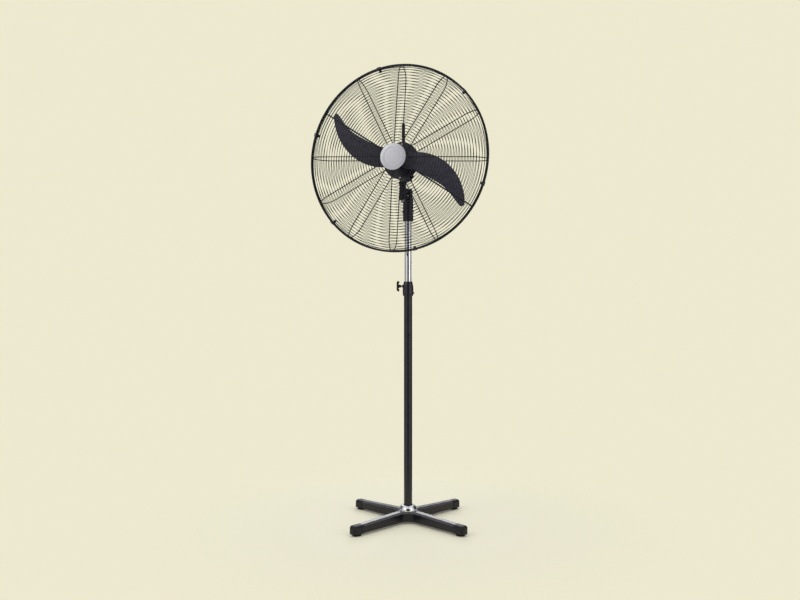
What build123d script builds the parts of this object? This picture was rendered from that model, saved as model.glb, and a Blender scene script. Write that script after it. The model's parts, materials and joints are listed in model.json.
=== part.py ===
"""Two-bladed pedestal fan on a cast cross base, with a sliding mast, a tilting arm and an
oscillating head.  Millimetres.  The floor is z = 0 under the column and the head faces -Y.
Depths called *_d are distances in front of the column axis, so y = -d."""
from build123d import *
from math import cos, sin, pi, radians, sqrt, hypot, degrees, atan2
import os

os.makedirs("parts", exist_ok=True)

# ---------------------------------------------------------------- driving sizes
run_gap = 0.06            # radial clearance of anything that turns or slides
seat_gap = 0.03           # gap between pieces bolted together
body_gap = 0.35           # gap between faces of pieces that move past each other

base_turn = 19.0          # the stand is turned this much from the head
leg_reach = 316.0         # column axis to each foot pad
leg_width = 41.0
leg_end_top = 44.0
base_top = 54.0
casting_bottom = 10.0
pad_radius = 20.0
cap_wall = 3.0
web_radius = 44.0         # hollow corner between two legs
panel_edge = 6.0          # width of the step round the raised top panel
panel_step = 2.4
shoulder = 8.0            # bevel between the legs' tops and their sides
flange_thick = 6.0
bolt_radius = 2.5
dome_top = 78.0

outer_tube_wall = 2.0
outer_tube_top = 1070.0
mast_radius = 16.0
mast_wall = 2.5
bush_wall = 1.0
mast_overlap = 250.0      # length of mast inside the outer tube at rest
slide_down = 270.0        # travel of the height adjustment below the rest height
slide_up = 120.0
clamp_screw_radius = 4.0
keyway_depth = 1.2

socket_wall = 8.0
socket_depth = 65.0
cheek_radius = 17.0
lug_half = 7.6
tilt_bolt_radius = 5.0
pivot_d = 75.0            # oscillation axis in front of the column
pivot_radius = 7.0
barrel_radius = 15.0
barrel_length = 83.0

hub_z = 1636.0            # height of the blade axis
shell_radius = 69.0
shell_wall = 2.5
shell_front_d = 97.0
shell_split_d = 60.0
shell_rear_d = 28.0
cover_radius = 48.0       # rear cover beside the clutch rod
cover_rear_d = -46.0
gland_x = 22.0            # cable inlet
gland_d = 14.0
shaft_radius = 6.0
air_gap = 0.8             # between the rotor and the stator
slot_depth = 18.2         # from the stator's bore to the back of the core
core_length = 30.0

worm_pitch = 3.40
worm_radius = 5.5
worm_root = 3.2
wheel_teeth = 36
wheel_phase = 0.5         # share of a tooth the worm wheel is turned at rest
wheel_centre = 24.0       # worm axis to clutch shaft
wheel_d = -5.0
clutch_rod_rise = 194.0   # top of the clutch knob above the blade axis
pinion_teeth = 12
gear_teeth = 30
gear_module = 1.0
crank_x = -7.0
stud_offset = 14.0        # drive stud to the oscillation axis
stud_radius = 2.5
link_eye = 5.0
drive_swing = 45.0        # half angle of the oscillation

guard_radius = 413.0
rim_d = 158.0
hoop_wire = 4.5
rib_wire = 2.0
ring_wire = 1.1
ring_pitch = 12.4
rib_count = 12
rib_clock = -3.5          # degrees, seen from the front
face_radius = 350.0       # the flat of the guard ends here
front_d = 204.0
front_edge_d = 197.0
rear_d = shell_front_d + 1.43
plate_margin = 14.5       # guard plate outside the motor
badge_radius = 58.4
clip_count = 6

blade_d = 150.0
blade_thick = 2.0
arm_thick = 3.2
blade_curve = 420.0       # radius of the sheet's camber
hub_radius = 21.0
hub_length = 42.0

wheel_tip = wheel_centre - worm_root - 0.3
crank_radius = stud_offset * sin(radians(drive_swing))
clutch_x = -wheel_centre
gear_distance = gear_module * (pinion_teeth + gear_teeth) / 2
crank_y = -wheel_d + sqrt(gear_distance ** 2 - (crank_x - clutch_x) ** 2)
hoop_radius = guard_radius - hoop_wire
hoop_half_gap = hoop_wire + 0.1
link_thick = 4.0
gear_thick = 6.0

outer_tube_radius = mast_radius + bush_wall + outer_tube_wall
flange_radius = outer_tube_radius + 14.0
bolt_circle = outer_tube_radius + 9.5
dome_radius = outer_tube_radius + 22.0
mast_bottom = outer_tube_top - mast_overlap
collar_radius = outer_tube_radius + 6.0
collar_bottom = outer_tube_top - 36.0
collar_top = outer_tube_top + 29.0
clamp_z = outer_tube_top + 8.0
fixing_z = outer_tube_top - 23.0

gear_z = hub_z - shell_radius - 2.0
case_bottom = gear_z - 3.0
case_top = gear_z + 29.0
link_z = gear_z - 9.0
barrel_top = link_z - 9.0
barrel_bottom = barrel_top - barrel_length
tilt_z = barrel_top - 39.0
socket_bottom = tilt_z - 133.0
socket_radius = mast_radius + socket_wall
gland_boss_bottom = hub_z - shell_radius + 10.0
gland_boss_top = hub_z - shell_radius + 33.0
clutch_rod_top = hub_z + clutch_rod_rise
stator_radius = shell_radius - 17.0
rotor_radius = stator_radius - slot_depth - air_gap
bolt_ring = shell_radius - 13.5
plate_radius = shell_radius + plate_margin
plate_screw_circle = shell_radius + 6.0


# ---------------------------------------------------------------- small helpers
def zcyl(radius, z0, z1, x=0.0, y=0.0):
    return Pos(x, y, (z0 + z1) / 2) * Cylinder(radius, z1 - z0)


def ycyl(radius, d0, d1, x=0.0, z=hub_z):
    return Pos(x, -(d0 + d1) / 2, z) * Rot(90, 0, 0) * Cylinder(radius, abs(d1 - d0))


def xcyl(radius, x0, x1, y=0.0, z=0.0):
    return Pos((x0 + x1) / 2, y, z) * Rot(0, 90, 0) * Cylinder(radius, abs(x1 - x0))


def block(x0, x1, y0, y1, z0, z1):
    return Pos((x0 + x1) / 2, (y0 + y1) / 2, (z0 + z1) / 2) * Box(x1 - x0, y1 - y0, z1 - z0)


def lathe_z(points, x=0.0, y=0.0):
    """Revolve (radius, z) points about the vertical through x, y."""
    face = make_face(Polyline(*[(r, 0, z) for r, z in points], close=True))
    return Pos(x, y, 0) * revolve(face, Axis.Z)


def lathe_d(points, z=hub_z):
    """Revolve (radius, d) points about the fan axis."""
    face = make_face(Polyline(*[(r, -d, 0) for r, d in points], close=True))
    return Pos(0, 0, z) * revolve(face, Axis.Y)


def on_stand(shape, angle):
    return Rot(0, 0, angle) * shape


def clock(radius, angle, d):
    """A point on the head by clock angle, counted from the viewer's right."""
    return (radius * cos(radians(angle)), -d, hub_z + radius * sin(radians(angle)))


def spin_clock(shape, angle):
    """Turn a shape about the fan axis, counter-clockwise seen from the front."""
    return Pos(0, 0, hub_z) * Rot(0, -angle, 0) * Pos(0, 0, -hub_z) * shape


def hex_head(across, height):
    return extrude(RegularPolygon(across / sqrt(3), 6), height)


def save(name, shape):
    solids = shape.solids() if hasattr(shape, "solids") else [s for p in shape for s in p.solids()]
    whole = solids[0] if len(solids) == 1 else Compound(children=list(solids))
    whole.label = name
    export_step(whole, "parts/" + name + ".step")
    print(f"{name:24s} {len(solids):3d} solids  {sum(s.volume for s in solids):12.0f} mm3")


def gather(shapes):
    return Compound(children=[s for shape in shapes for s in shape.solids()])


# ---------------------------------------------------------------- base
def leg_plan(extra=0.0, reach=leg_reach + 14):
    """Plan of the cross: two bars with wide hollow corners between them."""
    arm = Rectangle(2 * reach, leg_width + 2 * extra)
    plan = arm + Rot(0, 0, 90) * arm
    inner = [v for v in plan.vertices() if hypot(v.X, v.Y) < 120]
    return fillet(inner, web_radius - extra)


def crown(drop=0.0, low=0.0):
    """Solid under the casting's gently rising top."""
    far = leg_reach + 60
    return lathe_z([(0, low), (far, low), (far, leg_end_top - 2 - drop),
                    (62, base_top - drop), (0, base_top - drop)])


def shoulder_edges(body):
    """Edges where the rising top of the cross meets its sides."""
    tops = [face for face in body.faces() if face.normal_at().Z > 0.9]
    edges = [edge for face in tops for edge in face.outer_wire().edges()]
    return [edge for edge in edges if sum(edge.is_same(other) for other in edges) == 1]


def make_base():
    body = extrude(leg_plan(), base_top) & crown(low=casting_bottom)
    body = chamfer(shoulder_edges(body), shoulder)
    edge = extrude(leg_plan(1), base_top + 1) - extrude(leg_plan(-panel_edge), base_top + 1)
    body = body - (edge - crown(panel_step))
    hollow = extrude(leg_plan(-9, leg_reach - 22), 22) - zcyl(dome_radius + 11, -1, 60)
    body = body - hollow
    body = body - zcyl(outer_tube_radius + seat_gap, 0, 80)
    for a in range(4):
        body = body - Rot(0, 0, 90 * a) * Pos(bolt_circle, 0, 0) * Cylinder(bolt_radius + 0.1, 200)
        tip = Rot(0, 0, 90 * a) * Pos(leg_reach, 0, 0)
        body = body - tip * Pos(0, 0, 12) * Cylinder(3.2, 26)
        cut = Rot(0, 0, 90 * a) * block(leg_reach - 24, leg_reach + 30, -60, 60, 0, 60)
        keep = Rot(0, 0, 90 * a) * (block(leg_reach - 25, leg_reach + 12, -leg_width / 2 + cap_wall,
                                          leg_width / 2 - cap_wall, 13, leg_end_top - cap_wall - 2.5))
        body = (body - cut) + keep
        body = body - tip * Pos(0, 0, 12) * Cylinder(3.2, 26)
    return on_stand(body, base_turn + 45)


def make_leg_cap():
    """Rounded end cap that slips over the machined tenon of a leg."""
    half = leg_width / 2 + 1.5
    plan = Pos(leg_reach + 3, 0) * Rectangle(2 * 26.6, 2 * half)
    plan = fillet([v for v in plan.vertices() if v.X > leg_reach], 17)
    cap = Pos(0, 0, casting_bottom - 1) * extrude(plan, leg_end_top + 2 - casting_bottom)
    top = cap.faces().sort_by(Axis.Z)[-1].edges()
    cap = fillet([e for e in top if e.center().X > leg_reach - 20], 12)
    tenon = block(leg_reach - 40, leg_reach + 12 + seat_gap, -leg_width / 2 + cap_wall - seat_gap,
                  leg_width / 2 - cap_wall + seat_gap, 13 - seat_gap,
                  leg_end_top - cap_wall - 2.5 + seat_gap)
    cap = cap - tenon
    return cap - Pos(leg_reach, 0, 8) * Cylinder(4.5, 20)


def make_foot_pad():
    pad = Pos(leg_reach, 0, 4.2) * Cylinder(pad_radius, 8.4)
    pad = fillet(pad.edges(), 1.5)
    return pad + zcyl(3.1, 8, 22, leg_reach)


def make_tube_flange():
    flange = zcyl(flange_radius, base_top + seat_gap, base_top + flange_thick)
    flange = flange + lathe_z([(0, base_top + 5), (outer_tube_radius + 4.8, base_top + 5),
                               (outer_tube_radius + 3.0, base_top + 13),
                               (0, base_top + 13)])
    flange = flange - zcyl(outer_tube_radius + seat_gap, 0, 120)
    for a in range(4):
        flange = flange - Rot(0, 0, 45 + 90 * a) * Pos(bolt_circle, 0, 60) * Cylinder(bolt_radius + 0.1, 40)
    return flange


def make_flange_bolts():
    bolts = []
    for a in range(4):
        z = base_top + flange_thick + seat_gap
        bolt = Pos(bolt_circle, 0, z) * hex_head(7.2, 3.5) + zcyl(bolt_radius, 24, z + 0.5, bolt_circle)
        bolts.append(Rot(0, 0, 45 + 90 * a) * bolt)
    return gather(bolts)


def make_base_dome():
    steps = [radians(6 * k) for k in range(0, 13)]
    top_r = outer_tube_radius + 0.3

    def curve(off):
        span = dome_radius - off - top_r
        rise = dome_top - base_top - off
        return [(top_r + span * cos(t), base_top + seat_gap + rise * sin(t)) for t in steps]

    outer = curve(0)
    inner = curve(1.6)
    lip = [(top_r, outer[-1][1] + 0.4)]
    return lathe_z(outer + lip + [(top_r, inner[-1][1])] + inner[::-1])


# ---------------------------------------------------------------- column
def make_outer_tube():
    tube = zcyl(outer_tube_radius, 16, outer_tube_top)
    tube = tube - zcyl(outer_tube_radius - outer_tube_wall, 0, outer_tube_top + 1)
    hole = xcyl(3.05, 10, 30, 0, fixing_z)
    return tube - on_stand(hole, base_turn)


def make_collar():
    r = outer_tube_radius
    profile = [(r + seat_gap, collar_bottom), (r + 4.6, collar_bottom),
               (r + 5.4, collar_bottom + 8), (collar_radius, collar_bottom + 22),
               (r + 5.4, collar_bottom + 38), (r + 3.4, collar_top - 12), (r + 1.4, collar_top - 3),
               (r + 0.4, collar_top), (mast_radius + 0.5, collar_top),
               (mast_radius + 0.5, outer_tube_top + 4), (outer_tube_radius + seat_gap, outer_tube_top + 4)]
    collar = lathe_z(profile)
    collar = collar + on_stand(xcyl(8, -collar_radius - 1.5, -r - 1, 0, clamp_z), base_turn)
    collar = collar - zcyl(mast_radius + 0.5, clamp_z - 3, collar_top + 1)
    collar = collar - zcyl(r + seat_gap, collar_bottom - 30, outer_tube_top + 4)
    collar = collar - on_stand(xcyl(clamp_screw_radius + run_gap, -60, -5, 0, clamp_z), base_turn)
    return collar - on_stand(xcyl(3.05, 10, 60, 0, fixing_z), base_turn)


def make_collar_bush():
    inner = mast_radius + run_gap
    outer = outer_tube_radius - outer_tube_wall - seat_gap
    top = outer_tube_top + seat_gap
    return lathe_z([(inner, top - 30), (outer, top - 30), (outer, top),
                    (outer_tube_radius - 0.4, top), (outer_tube_radius - 0.4, top + 3),
                    (inner, top + 3)])


def make_fixing_screw():
    r = collar_radius
    screw = xcyl(3.0, outer_tube_radius - outer_tube_wall + 0.1, r + 1, 0, fixing_z)
    head = xcyl(5.2, r - 0.1, r + 3.6, 0, fixing_z)
    screw = screw + fillet(head.edges().sort_by(Axis.X)[-1], 1)
    return on_stand(screw - block(r + 2.4, r + 5, -0.6, 0.6, fixing_z - 6, fixing_z + 6), base_turn)


def make_clamp_screw():
    tip = mast_radius - keyway_depth + 0.25
    screw = xcyl(3.0, -mast_radius - 4, -tip, 0, clamp_z)
    screw = screw + xcyl(clamp_screw_radius, -collar_radius - 19, -mast_radius - 1.6, 0, clamp_z)
    return on_stand(screw, base_turn)


def make_clamp_handle():
    """T handle: two wings swept back towards the collar from a conical boss."""
    r = collar_radius
    wing = Pos(-r - 22.6, 0, clamp_z) * Cylinder(5.0, 34)
    tip = Pos(-r - 20.4, 0, clamp_z + 18) * Sphere(6.0) + Pos(-r - 20.4, 0, clamp_z - 18) * Sphere(6.0)
    cone = Pos(-r - 13, 0, clamp_z) * Rot(0, 90, 0) * Cone(8.0, 5.4, 14)
    handle = wing + tip + cone
    return on_stand(handle - xcyl(clamp_screw_radius + 0.02, -r - 19.02, -r + 5, 0, clamp_z), base_turn)


def make_mast():
    """Chrome tube with the keyway that the clamp screw runs in."""
    tube = zcyl(mast_radius, mast_bottom, socket_bottom + socket_depth - 0.5)
    tube = tube - zcyl(mast_radius - mast_wall, mast_bottom - 1, socket_bottom + 200)
    low = clamp_z - slide_up - 12
    high = clamp_z + slide_down + 12
    key = block(-mast_radius - 2, -mast_radius + keyway_depth, -3.4, 3.4, low, high)
    tube = tube - on_stand(key, base_turn)
    for side in (-1, 1):
        tube = tube - Pos(side * mast_radius, 0, socket_bottom + 45) * Rot(0, 90, 0) * Cylinder(3.1, 8)
    return tube


def make_guide_bush():
    """Plastic foot of the mast, running in the outer tube."""
    outer = outer_tube_radius - outer_tube_wall - run_gap
    plug = mast_radius - mast_wall - seat_gap
    return lathe_z([(0, mast_bottom - 10), (outer, mast_bottom - 10), (outer, mast_bottom - seat_gap),
                    (plug, mast_bottom - seat_gap), (plug, mast_bottom + 20), (0, mast_bottom + 20)])


# ---------------------------------------------------------------- neck
def make_neck_socket():
    """Cast sleeve on the mast with the clevis of the tilt joint on top."""
    top = socket_bottom + 100
    sleeve = lathe_z([(0, socket_bottom), (socket_radius - 1.5, socket_bottom),
                      (socket_radius, socket_bottom + 1.5), (socket_radius, top), (0, top)])
    taper = loft([Plane.XY.offset(top - 0.01) * Circle(socket_radius),
                  Plane.XY.offset(tilt_z - 8) * Rectangle(31, 30)])
    cheeks = xcyl(cheek_radius, -15.5, 15.5, 0, tilt_z)
    body = sleeve + taper + cheeks + block(-15.5, 15.5, -cheek_radius, cheek_radius, tilt_z - 12, tilt_z)
    slot = lug_half + body_gap
    body = body - block(-slot, slot, -30, 30, tilt_z - cheek_radius - 1.5, tilt_z + 30)
    body = body - zcyl(mast_radius + seat_gap, socket_bottom - 1, socket_bottom + socket_depth)
    body = body - xcyl(tilt_bolt_radius + run_gap, -40, 40, 0, tilt_z)
    return body - xcyl(3.55, -30, 30, 0, socket_bottom + 45)


def make_neck_screws():
    screws = []
    for side in (0, 180):
        screw = xcyl(3.0, mast_radius - 2.2, mast_radius + 4, 0, socket_bottom + 45)
        screw = screw + xcyl(3.5, mast_radius + 3, socket_radius + 1, 0, socket_bottom + 45)
        screw = screw + xcyl(5.5, socket_radius + 0.2, socket_radius + 3.5, 0, socket_bottom + 45)
        screws.append(Rot(0, 0, side) * screw)
    return gather(screws)


def make_tilt_bolt():
    bolt = xcyl(tilt_bolt_radius, -37, 16, 0, tilt_z)
    head = Pos(15.5 + seat_gap, 0, tilt_z) * Rot(0, 90, 0) * hex_head(13, 6)
    return bolt + head


def make_tilt_knob():
    """Lobed hand knob that clamps the clevis."""
    x0 = -15.5 - body_gap
    knob = xcyl(9, x0 - 5, x0, 0, tilt_z) + xcyl(15, x0 - 22, x0 - 4, 0, tilt_z)
    for k in range(6):
        a = radians(60 * k + 30)
        knob = knob - xcyl(4.6, x0 - 30, x0 - 6, 18 * cos(a), tilt_z + 18 * sin(a))
    return knob - xcyl(tilt_bolt_radius + run_gap, -37.3, 0, 0, tilt_z)


def make_pivot_arm():
    """Arm from the tilt bolt forward to the upright bearing barrel of the oscillation."""
    lug = xcyl(14.5, -lug_half, lug_half, 0, tilt_z)
    web = block(-lug_half, lug_half, -pivot_d, 0, tilt_z - 13, tilt_z + 13)
    rib = block(-12, 12, -pivot_d, -26, tilt_z - 6, tilt_z + 6)
    barrel = zcyl(barrel_radius, barrel_bottom, barrel_top, 0, -pivot_d)
    ear = zcyl(link_eye, barrel_top - 14, barrel_top, -stud_offset, -pivot_d)
    arm = lug + web + rib + barrel + ear
    arm = arm - xcyl(tilt_bolt_radius + run_gap, -30, 30, 0, tilt_z)
    arm = arm - zcyl(pivot_radius + 2.5, barrel_bottom - 60, barrel_top + 50, 0, -pivot_d)
    return arm - zcyl(stud_radius + seat_gap, barrel_top - 12.5, barrel_top + 10, -stud_offset, -pivot_d)


def make_pivot_bushes():
    inner = pivot_radius + run_gap
    outer = pivot_radius + 2.5 - seat_gap
    low = barrel_bottom - 2
    high = barrel_top + 2
    upper = lathe_z([(inner, high - 24), (outer, high - 24), (outer, high - 2 + seat_gap),
                     (11, high - 2 + seat_gap), (11, high), (inner, high)], 0, -pivot_d)
    lower = lathe_z([(inner, low + 24), (outer, low + 24), (outer, low + 2 - seat_gap),
                     (11, low + 2 - seat_gap), (11, low), (inner, low)], 0, -pivot_d)
    return gather([upper, lower])


def make_link_stud():
    z1 = link_z + link_thick + body_gap
    stud = zcyl(stud_radius, barrel_top - 12, z1 + 0.5, -stud_offset, -pivot_d)
    return stud + zcyl(4.0, z1, z1 + 1.3, -stud_offset, -pivot_d)


def make_drive_link():
    """Flat link from the arm's stud to a window round the crank pin."""
    span = crank_y + pivot_d
    bar = block(-2.2, 2.2, 0, span - 3, 0, link_thick)
    frame = block(-8.6, 8.6, span - 7.6, span + 7.6, 0, link_thick)
    link = bar + zcyl(link_eye, 0, link_thick) + frame
    link = link - zcyl(stud_radius + run_gap, -1, 9)
    window = block(-5.9, 5.9, span - 4.6, span + 4.6, -1, 9)
    return Pos(-stud_offset, -pivot_d, link_z) * (link - window)


# ---------------------------------------------------------------- motor
def make_pivot_shaft():
    shaft = zcyl(pivot_radius, barrel_bottom - 12, hub_z - shell_radius + 6, 0, -pivot_d)
    z = barrel_bottom - 6
    groove = zcyl(pivot_radius + 2, z, z + 1.3, 0, -pivot_d) - zcyl(pivot_radius - 1, z, z + 1.3, 0, -pivot_d)
    shoulder = zcyl(10.8, barrel_top + 2 + body_gap, link_z - 0.6, 0, -pivot_d)
    return (shaft - groove) + shoulder


def make_circlip():
    z = barrel_bottom - 6
    ring = zcyl(10, z + 0.05, z + 1.25, 0, -pivot_d) - zcyl(pivot_radius - 0.95, z, z + 2, 0, -pivot_d)
    return ring - block(-3, 3, -pivot_d - 20, -pivot_d - 4, z - 1, z + 3)


def make_front_shell():
    wall = shell_wall
    r = shell_radius
    points = [(0, shell_front_d), (r - 8, shell_front_d), (r, shell_front_d - 7),
              (r, shell_split_d + 16), (r - 3.5, shell_split_d), (r - 3.5 - wall, shell_split_d),
              (r - wall, shell_split_d + 16),
              (r - wall, shell_front_d - 9), (r - 10, shell_front_d - 3), (20, shell_front_d - 3),
              (17, shell_front_d - 12), (0, shell_front_d - 12)]
    shell = lathe_d(points)
    boss = zcyl(9.5, hub_z - r - 6, hub_z - r + 8, 0, -pivot_d)
    shell = shell + (boss - ycyl(stator_radius + 4.5, 50, 100))
    for k in range(10):
        slot = Pos(*clock(r - 23, 36 * k, shell_front_d)) * Rot(90, 0, 0) * Cylinder(4.5, 12)
        shell = shell - slot
    shell = shell - ycyl(14 + seat_gap, shell_front_d - 13, shell_front_d - 4)
    shell = shell - ycyl(shaft_radius + 1, 50, 120)
    for k in range(4):
        x, y, z = clock(bolt_ring, 45 + 90 * k, 0)
        shell = shell - ycyl(2.05, 50, 120, x, z)
    return shell - zcyl(pivot_radius + seat_gap, barrel_bottom, hub_z - r + 6 + seat_gap, 0, -pivot_d)


def make_rear_shell():
    wall = shell_wall
    split = shell_split_d - seat_gap
    r = shell_radius
    points = [(r - 3.5, split), (r - 7, shell_rear_d + 16), (r - 8.5, shell_rear_d), (0, shell_rear_d),
              (0, shell_rear_d + 10), (17, shell_rear_d + 10), (20, shell_rear_d + wall),
              (r - 8.5 - wall, shell_rear_d + wall), (r - 7 - wall, shell_rear_d + 16),
              (r - 3.5 - wall, split)]
    shell = lathe_d(points)
    shell = shell - ycyl(14 + seat_gap, shell_rear_d + 3, shell_rear_d + 12)
    shell = shell - ycyl(shaft_radius + 1, 0, 60)
    for k in range(4):
        x, y, z = clock(bolt_ring, 45 + 90 * k, 0)
        shell = shell - ycyl(2.05, 0, 60, x, z)
    return shell


def make_through_bolts():
    bolts = []
    for k in range(4):
        x, y, z = clock(bolt_ring, 45 + 90 * k, 0)
        bolt = ycyl(2.0, shell_rear_d - 4, shell_front_d - 0.5, x, z)
        nut = Pos(x, -shell_rear_d + seat_gap, z) * Rot(-90, 0, 0) * hex_head(5.0, 3)
        bolts.append(bolt + nut)
    return gather(bolts)


def make_stator():
    """Slotted laminated core."""
    mid = (shell_front_d + shell_rear_d) / 2 + 2
    d0 = mid - core_length / 2
    d1 = mid + core_length / 2
    core = ycyl(stator_radius, d0, d1) - ycyl(rotor_radius + air_gap, d0 - 1, d1 + 1)
    tooth_gap = Pos(rotor_radius + 7, -mid, hub_z) * Box(11, core_length + 2, 5)
    mouth = Pos(rotor_radius + 1.5, -mid, hub_z) * Box(6, core_length + 2, 1.8)
    for k in range(24):
        core = core - spin_clock(tooth_gap + mouth, 15 * k)
    return core


def make_windings():
    """Coil overhang on both faces of the core, tied into a ring of bundles."""
    mid = (shell_front_d + shell_rear_d) / 2 + 2
    coils = []
    for side in (-1, 1):
        d0 = mid + side * (core_length / 2 + 0.2)
        d1 = d0 + side * 9
        ring = ycyl(stator_radius - 6, min(d0, d1), max(d0, d1))
        ring = ring - ycyl(rotor_radius + 3, min(d0, d1) - 1, max(d0, d1) + 1)
        for k in range(12):
            ring = ring - Pos(*clock(stator_radius - 5.5, 30 * k, d1)) * Sphere(3.2)
        coils.append(ring)
    return gather(coils)


def make_bearings():
    rings = []
    for d0, d1 in ((shell_front_d - 12.5, shell_front_d - 4.1), (shell_rear_d + 3.1, shell_rear_d + 10.5)):
        ring = ycyl(14, d0, d1) - ycyl(shaft_radius + run_gap, d0 - 1, d1 + 1)
        trough = ycyl(11.2, d0 - 1, d0 + 0.8) - ycyl(8.8, d0 - 1, d0 + 0.8)
        rings.append(ring - trough)
    return gather(rings)


def case_outline(grow):
    """Plan of the gear case: a pocket round the pinion and one round the crank gear."""
    pinion = Pos(clutch_x, -wheel_d) * Circle(10 + grow)
    gear = Pos(crank_x, crank_y) * Circle(gear_module * gear_teeth / 2 + 2.6 + grow)
    return pinion + gear


def make_gear_case():
    wall = 2.4
    case = extrude(case_outline(wall), case_top - case_bottom)
    room = Pos(0, 0, wall) * extrude(case_outline(0), case_top)
    case = Pos(0, 0, case_bottom) * (case - room)
    lug = block(-14, 10, -shell_rear_d + seat_gap, crank_y - 10, case_bottom + 16, case_top)
    lug = lug - Pos(0, 0, case_bottom) * extrude(case_outline(0.5), 60)
    case = case + lug
    case = case - zcyl(4.0 + run_gap, case_bottom - 60, case_top + 6, crank_x, crank_y)
    return case - zcyl(3.0 + run_gap, case_bottom + 0.8, case_top + 6, clutch_x, -wheel_d)


def make_rear_cover():
    """Bell-shaped cover over the worm drive, with the opening for the gear case."""
    wall = 2.2

    def curve(off):
        r = shell_radius - off
        return [(r - 7.8, shell_rear_d - seat_gap), (r - 8.4, shell_rear_d - 5),
                (r - 14, shell_rear_d - 14), (r - 19, shell_rear_d - 24),
                (cover_radius - off, wheel_d), (45.0 - off, -18), (40.0 - off, -32),
                (33.0 - off, cover_rear_d + off * 0.6), (14.0, cover_rear_d - 2 + off)]

    outer = curve(0)
    inner = curve(wall)
    cover = lathe_d(outer + [(0, cover_rear_d - 2), (0, cover_rear_d - 2 + wall)] + inner[::-1])
    cover = cover - Pos(0, 0, case_bottom - 62) * extrude(case_outline(2.4 + 0.4), 120)
    cover = cover - block(-15, 11, -40, crank_y, case_bottom - 62, case_top + 1)
    cover = cover - zcyl(3.0 + 0.5, hub_z, hub_z + 164, clutch_x, -wheel_d)
    cover = cover - ycyl(3.2, -80, 0, 0, hub_z)
    boss = zcyl(9.5, gland_boss_bottom, gland_boss_top, gland_x, -gland_d)
    cover = cover + boss - zcyl(5.1, gland_boss_bottom - 77, gland_boss_top + 1, gland_x, -gland_d)
    return cover


def make_gland():
    """Cable inlet gland under the rear cover; the lead itself isn't part of the model."""
    gland = Pos(gland_x, -gland_d, 0)
    z0 = gland_boss_bottom - seat_gap
    top = gland_boss_top + seat_gap
    body = lathe_z([(3.2, z0 - 9), (6.5, z0 - 9), (7.5, z0 - 6), (7.5, z0), (5.0, z0),
                    (5.0, top + 5), (3.2, top + 5)])
    nut = Pos(0, 0, top) * (hex_head(14, 3) - Cylinder(5.03, 20))
    return gather([gland * body, gland * nut])


def make_speed_knob():
    d0 = cover_rear_d - 2 - body_gap
    knob = ycyl(14, d0 - 11, d0) - ycyl(10, d0 - 12, d0 - 4)
    grip = block(-2.5, 2.5, -d0 + 2, -d0 + 13, hub_z - 12.5, hub_z + 12.5)
    stem = ycyl(3.0, d0 - 5, d0 + 10)
    return knob + grip + stem


# ---------------------------------------------------------------- guard
def guard_curve(front):
    """Rib centreline as (radius, depth) pieces: straight face, then the rounded shoulder."""
    if front:
        face = Line((46, front_d), (face_radius, front_edge_d))
        end = (hoop_radius - 2.75, rim_d + hoop_half_gap + 5.95)
    else:
        rib_d = rear_d - 1.45 - rib_wire
        face = Line((80, rib_d), (face_radius, rib_d))
        end = (hoop_radius - 1.5, rim_d - hoop_half_gap - 4.7)
    shoulder = TangentArc([face @ 1, end], tangent=face % 1)
    return face, shoulder


def make_ribs(front):
    face, shoulder = guard_curve(front)
    path = Wire([face, shoulder])
    section = Plane(origin=path @ 0, z_dir=path % 0) * Circle(rib_wire)
    rib = sweep(section, path=path)
    rib = Pos(0, 0, hub_z) * Rot(180, 0, 0) * rib
    return gather([spin_clock(rib, rib_clock + 360 / rib_count * k) for k in range(rib_count)])


def ring_stations(front):
    """Radius and depth of every ring wire, spaced evenly along the ribs' outer side."""
    face, shoulder = guard_curve(front)
    side = 1 if front else -1
    offset = rib_wire + ring_wire + 0.02
    stations = []
    step = ring_pitch
    distance = (badge_radius + 11.6 if front else plate_radius + 12.5) - (face @ 0).X
    total = face.length + shoulder.length
    while distance < total - 5:
        edge = face if distance < face.length else shoulder
        along = distance / face.length if edge is face else (distance - face.length) / shoulder.length
        p = edge @ along
        t = edge % along
        stations.append((p.X - side * t.Y * offset, p.Y + side * t.X * offset))
        distance += step
    return stations


def make_rings(front, shoulder):
    rings = []
    for radius, d in ring_stations(front):
        if (radius > face_radius + 4) == shoulder:
            ring = Pos(0, -d, hub_z) * Rot(90, 0, 0) * Torus(radius, ring_wire)
            rings.append(ring)
    return gather(rings)


def make_hoop(side):
    return Pos(0, -(rim_d + side * hoop_half_gap), hub_z) * Rot(90, 0, 0) * Torus(hoop_radius, hoop_wire)


def make_guard_plate():
    plate = lathe_d([(shaft_radius + 3, rear_d - 1.4), (plate_radius - 1, rear_d - 1.4),
                     (plate_radius, rear_d - 0.6), (plate_radius, rear_d + 1.4),
                     (plate_radius - 1.5, rear_d + 2.4), (shaft_radius + 3, rear_d + 2.4)])
    for k in range(4):
        x, y, z = clock(plate_screw_circle, 87 + 90 * k, 0)
        plate = plate - ycyl(2.6, 80, 120, x, z)
    return plate


def make_plate_back():
    """Spacer ring that the rear ribs are welded to, between the motor and the front plate."""
    front = rear_d - 1.5 - 2 * rib_wire
    ring = ycyl(plate_radius - 1, front - 2.5, front) - ycyl(shell_radius + 1.2, 80, 120)
    for k in range(4):
        x, y, z = clock(plate_screw_circle, 87 + 90 * k, 0)
        ring = ring - ycyl(2.6, 80, 120, x, z)
    return ring


def make_plate_screws():
    screws = []
    for k in range(4):
        x, y, z = clock(plate_screw_circle, 87 + 90 * k, 0)
        face = rear_d + 2.4 + seat_gap
        back = rear_d - 4 - 2 * rib_wire - seat_gap
        screw = ycyl(2.5, back + 0.3, face + 0.5, x, z)
        head = fillet(ycyl(4.8, face, face + 3, x, z).edges().sort_by(Axis.Y)[0], 1.2)
        slot = block(x - 4, x + 4, -face - 4, -face - 1.6, z - 0.6, z + 0.6)
        screws.append((screw + head) - slot)
    return gather(screws)


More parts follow.
